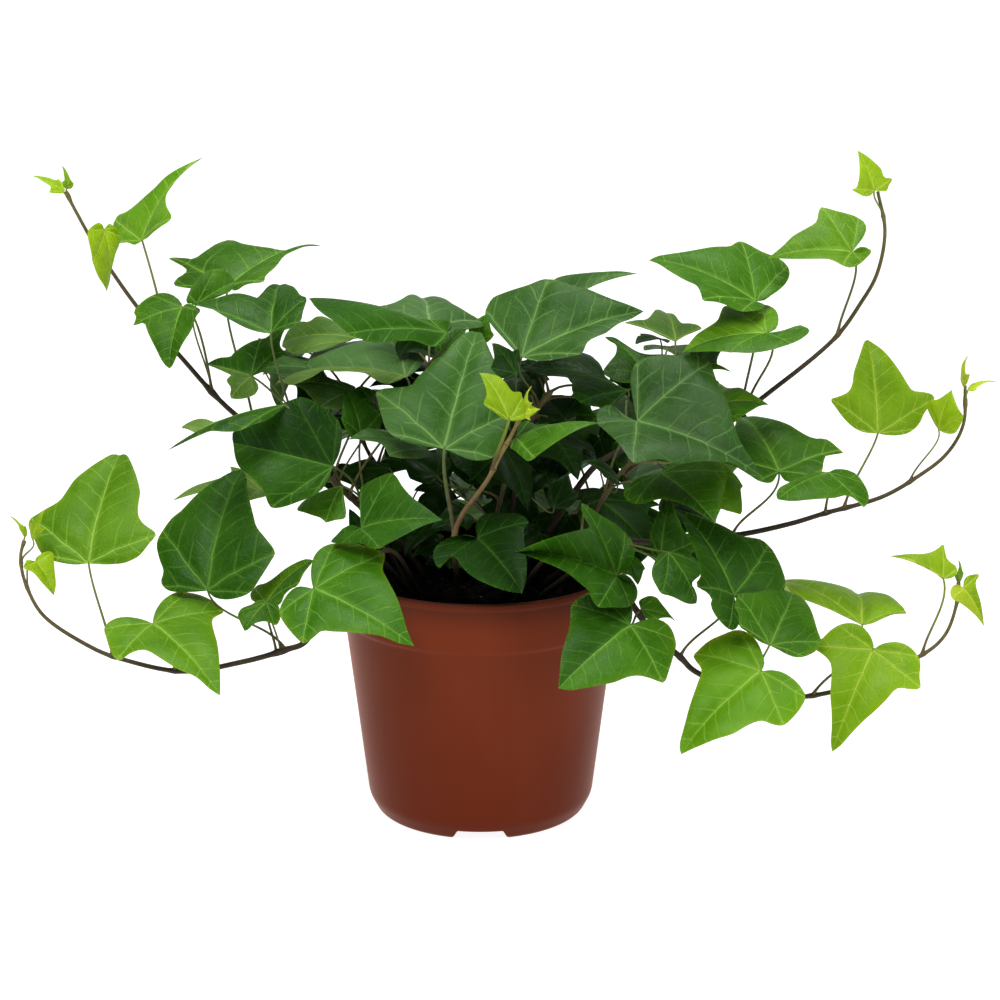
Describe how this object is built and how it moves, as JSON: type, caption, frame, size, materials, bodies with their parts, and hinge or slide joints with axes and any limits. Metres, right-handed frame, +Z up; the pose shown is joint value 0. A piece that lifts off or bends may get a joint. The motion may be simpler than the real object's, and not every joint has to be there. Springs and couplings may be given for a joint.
{
  "type": "potted english ivy",
  "caption": "English ivy with lobed green leaves on arching and trailing runners, growing from dark peat in a round plastic nursery pot.",
  "frame": {"origin": "centre of the pot's base, on the surface it stands on", "axes": "+Z up along the pot's axis, +X to the right in the picture along the longest spread, -Y towards the camera"},
  "size_m": [0.4112, 0.2356, 0.2813],
  "materials": {
    "pot": "satin thin-walled nursery plastic, reddish brown",
    "soil": "rough dark peat",
    "ivy": "semi-gloss green leaf"
  },
  "bodies": {
    "root": {"pot": "pot", "soil": "soil", "runner_upper_left": "ivy", "runner_lower_left": "ivy", "runner_upper_right": "ivy", "runner_mid_right": "ivy", "runner_lower_right": "ivy", "shoot_front": "ivy", "stem_left": "ivy", "stem_top": "ivy", "stem_top_right": "ivy", "stem_right": "ivy", "stem_front_right": "ivy", "stem_centre": "ivy", "stem_front_left": "ivy", "stem_back_left": "ivy", "stem_back": "ivy", "stem_back_right": "ivy"}
  },
  "joints": []
}
